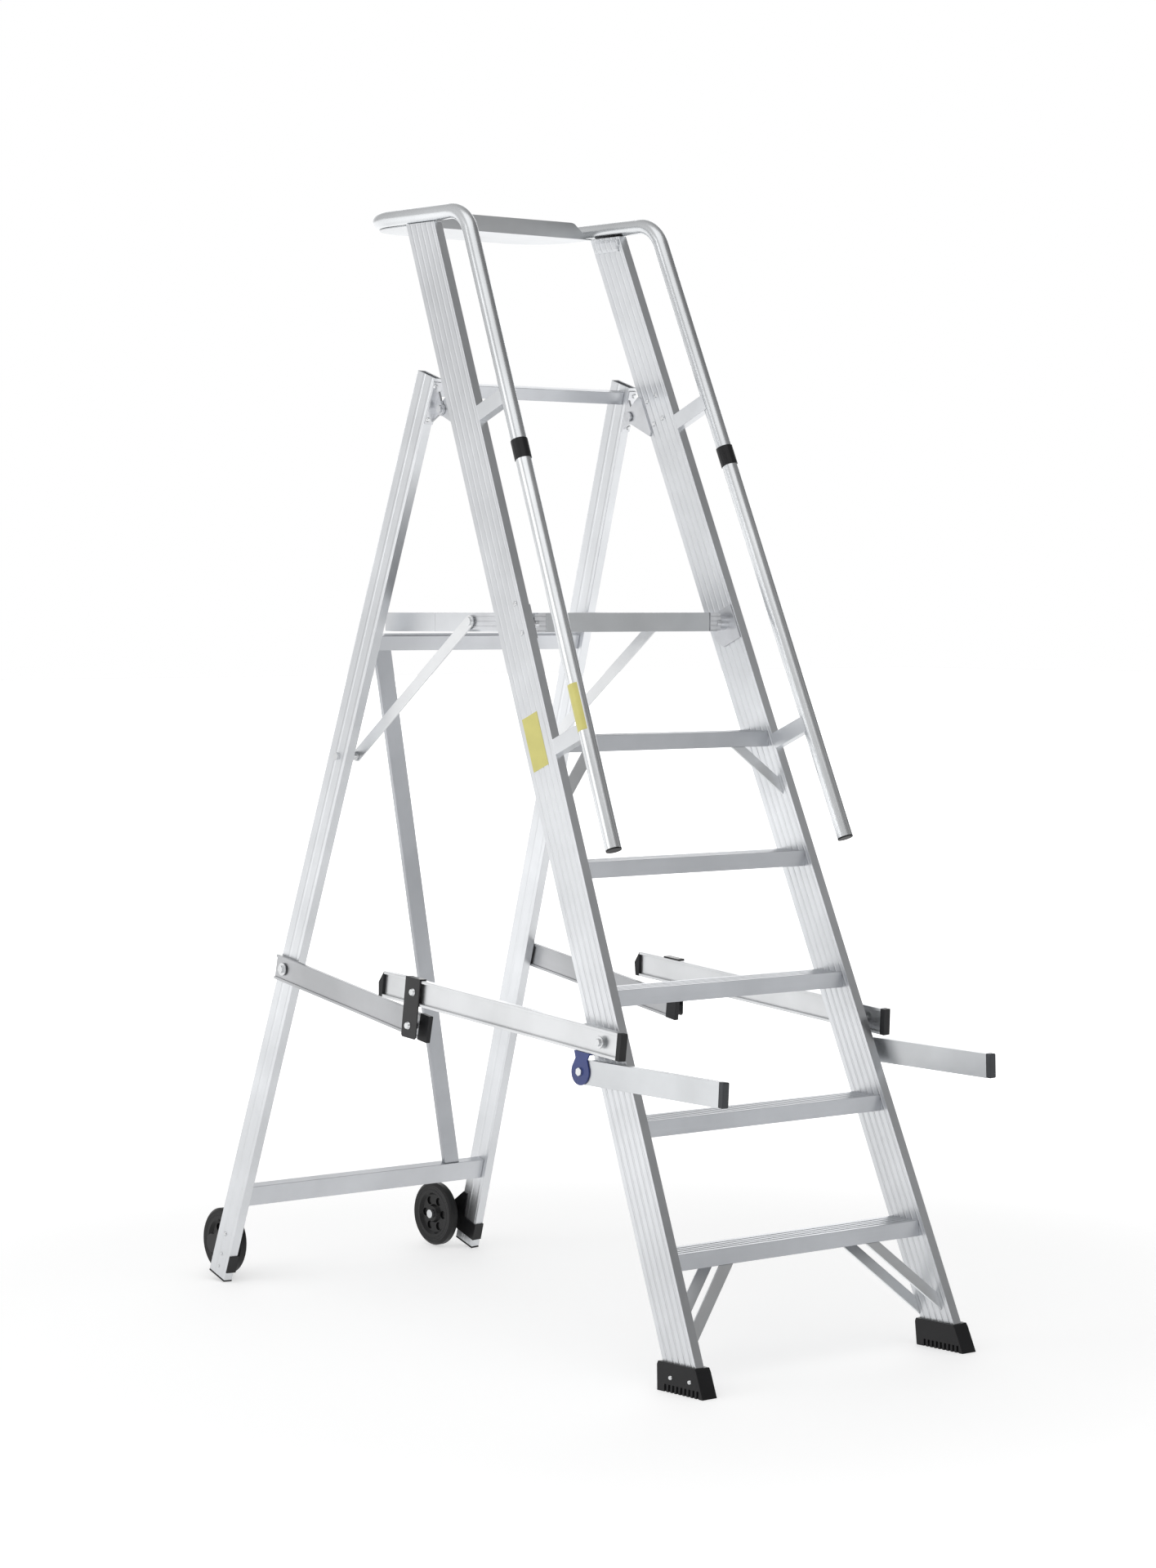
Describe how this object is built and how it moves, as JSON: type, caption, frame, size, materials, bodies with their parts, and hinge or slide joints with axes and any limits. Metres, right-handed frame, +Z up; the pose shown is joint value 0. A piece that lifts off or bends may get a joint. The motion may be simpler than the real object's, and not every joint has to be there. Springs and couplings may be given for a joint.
{
  "type": "step ladder",
  "caption": "Folding aluminium warehouse platform ladder with grooved treads, tubular handrails, top tool tray, rear wheels, hinged spreader bars and swing-out carrying handles.",
  "frame": {"origin": "centre of the whole ladder's outline on the floor, with the ladder open for use", "axes": "+Z up from the floor, +Y from the climbing side back to the wheels, +X across the ladder to the climber's right"},
  "size_m": [0.7604, 1.8546, 2.3705],
  "materials": {
    "aluminium": "extruded mill finish, fine lengthwise lines",
    "deck_aluminium": "extruded, grooved top",
    "plate": "zinc plated pressed plate",
    "zinc": "zinc plated fasteners and rivets",
    "black_plastic": "moulded, slightly grained",
    "dark_plastic": "moulded end cap",
    "black_steel": "satin black paint on sheet",
    "blue_steel": "gloss blue paint on pressed sheet",
    "label": "plain yellow film",
    "wheel_plastic": "moulded black hub",
    "tyre_rubber": "solid rubber tyre"
  },
  "bodies": {
    "front": {"stile_left": "aluminium", "stile_right": "aluminium", "step_1": "aluminium", "step_2": "aluminium", "step_3": "aluminium", "step_4": "aluminium", "step_5": "aluminium", "gussets": "aluminium", "front_foot_left": "black_plastic", "front_foot_right": "black_plastic", "stile_rivets": "zinc", "hoop_rail": "aluminium", "handrail_left": "aluminium", "handrail_right": "aluminium", "rail_sleeves": "black_plastic", "rail_end_plugs": "black_plastic", "rail_standoffs": "aluminium", "tool_tray": "aluminium", "hinge_plates": "plate", "pivot_brackets": "plate", "labels": "label", "stile_bolts": "zinc"},
    "rear_frame": {"leg_left": "aluminium", "leg_right": "aluminium", "top_crossbar": "aluminium", "middle_crossbar": "aluminium", "bottom_crossbar": "aluminium", "rear_diagonal": "aluminium", "leg_plugs": "black_plastic", "hinge_tongues": "plate", "leg_rivets": "zinc", "wheel_brackets": "black_steel", "leg_bolts": "zinc"},
    "platform": {"platform_deck": "deck_aluminium", "platform_side_rails": "deck_aluminium", "platform_front_bar": "deck_aluminium", "platform_rear_pan": "deck_aluminium", "platform_arms": "deck_aluminium"},
    "brace_left": {"brace_left": "aluminium"},
    "forward_bar_left": {"forward_bar_left": "aluminium", "forward_bar_caps_left": "black_plastic", "link_left": "black_steel", "handle_bracket_left": "blue_steel", "bar_bolts_left": "zinc"},
    "rear_bar_left": {"rear_bar_left": "aluminium"},
    "handle_left": {"handle_left": "aluminium", "handle_cap_left": "dark_plastic"},
    "wheel_left": {"rim_left": "wheel_plastic", "tyre_left": "tyre_rubber"},
    "brace_right": {"brace_right": "aluminium"},
    "forward_bar_right": {"forward_bar_right": "aluminium", "forward_bar_caps_right": "black_plastic", "link_right": "black_steel", "handle_bracket_right": "blue_steel", "bar_bolts_right": "zinc"},
    "rear_bar_right": {"rear_bar_right": "aluminium"},
    "handle_right": {"handle_right": "aluminium", "handle_cap_right": "dark_plastic"},
    "wheel_right": {"rim_right": "wheel_plastic", "tyre_right": "tyre_rubber"}
  },
  "joints": [
    {"name": "rear_frame_fold", "type": "hinge", "parent": "front", "child": "rear_frame", "pos_m": [0, 0.08838, 1.9406], "axis": [-1, 0, 0], "range_deg": [0, 41.28]},
    {"name": "platform_tilt", "type": "hinge", "parent": "front", "child": "platform", "pos_m": [0, -0.20451, 1.4877], "axis": [1, 0, 0], "range_deg": [0, 68.58]},
    {"name": "brace_left_turn", "type": "hinge", "parent": "rear_frame", "child": "brace_left", "pos_m": [-0.2615, 0.39439, 1.19863], "axis": [-1, 0, 0], "range_deg": [0, 16.4]},
    {"name": "forward_bar_left_turn", "type": "hinge", "parent": "front", "child": "forward_bar_left", "pos_m": [-0.3602, -0.55807, 0.66259], "axis": [0.9991, 0, -0.0424], "range_deg": [0, 61.83]},
    {"name": "rear_bar_left_turn", "type": "hinge", "parent": "rear_frame", "child": "rear_bar_left", "pos_m": [-0.34112, 0.55974, 0.72321], "axis": [-0.9991, 0, 0.0424], "range_deg": [0, 71.53]},
    {"name": "handle_left_swing", "type": "hinge", "parent": "forward_bar_left", "child": "handle_left", "pos_m": [-0.36288, -0.505, 0.59956], "axis": [0.9991, 0, -0.0424], "range_deg": [0, 155]},
    {"name": "wheel_left_spin", "type": "hinge", "parent": "rear_frame", "child": "wheel_left", "pos_m": [-0.303, 0.85231, 0.078], "axis": [1, 0, 0], "continuous": true},
    {"name": "brace_right_turn", "type": "hinge", "parent": "rear_frame", "child": "brace_right", "pos_m": [0.2615, 0.39439, 1.19863], "axis": [-1, 0, 0], "range_deg": [0, 16.4]},
    {"name": "forward_bar_right_turn", "type": "hinge", "parent": "front", "child": "forward_bar_right", "pos_m": [0.3602, -0.55807, 0.66259], "axis": [0.9991, 0, 0.0424], "range_deg": [0, 61.83]},
    {"name": "rear_bar_right_turn", "type": "hinge", "parent": "rear_frame", "child": "rear_bar_right", "pos_m": [0.34112, 0.55974, 0.72321], "axis": [-0.9991, 0, -0.0424], "range_deg": [0, 71.53]},
    {"name": "handle_right_swing", "type": "hinge", "parent": "forward_bar_right", "child": "handle_right", "pos_m": [0.36288, -0.505, 0.59956], "axis": [0.9991, 0, 0.0424], "range_deg": [0, 155]},
    {"name": "wheel_right_spin", "type": "hinge", "parent": "rear_frame", "child": "wheel_right", "pos_m": [0.303, 0.85231, 0.078], "axis": [1, 0, 0], "continuous": true}
  ],
  "couplings": [
    {"joint": "platform_tilt", "follows": "rear_frame_fold", "ratio": 1.6601},
    {"joint": "brace_left_turn", "follows": "rear_frame_fold", "ratio": 0.396},
    {"joint": "forward_bar_left_turn", "follows": "rear_frame_fold", "ratio": 1.4964},
    {"joint": "rear_bar_left_turn", "follows": "rear_frame_fold", "ratio": 1.7313},
    {"joint": "brace_right_turn", "follows": "rear_frame_fold", "ratio": 0.396},
    {"joint": "forward_bar_right_turn", "follows": "rear_frame_fold", "ratio": 1.4964},
    {"joint": "rear_bar_right_turn", "follows": "rear_frame_fold", "ratio": 1.7313}
  ]
}
